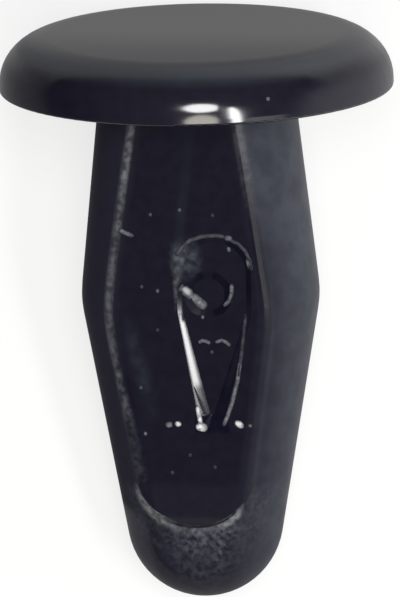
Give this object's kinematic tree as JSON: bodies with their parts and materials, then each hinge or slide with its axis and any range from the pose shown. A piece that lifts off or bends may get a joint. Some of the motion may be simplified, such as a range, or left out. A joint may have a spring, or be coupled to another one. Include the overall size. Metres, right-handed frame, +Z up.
{
  "type": "plastic push rivet",
  "caption": "One-piece push-in panel rivet: wide flat round head, barrel-shaped shank with recessed flat faces and a ball-shaped lead-in nose.",
  "frame": {"origin": "middle of the bounding box, on the surface that the rivet lies on", "axes": "+Y from the nose towards the head, along the length as it lies; +Z up, away from the surface, on the side of the front face; +X to the right seen from above with the head at the top"},
  "size_m": [0.018, 0.0274, 0.0175],
  "materials": {
    "nylon": "satin black moulded nylon, smooth on the head and the flat faces, frosted on the nose"
  },
  "bodies": {
    "root": {"rivet": "nylon"}
  },
  "joints": []
}
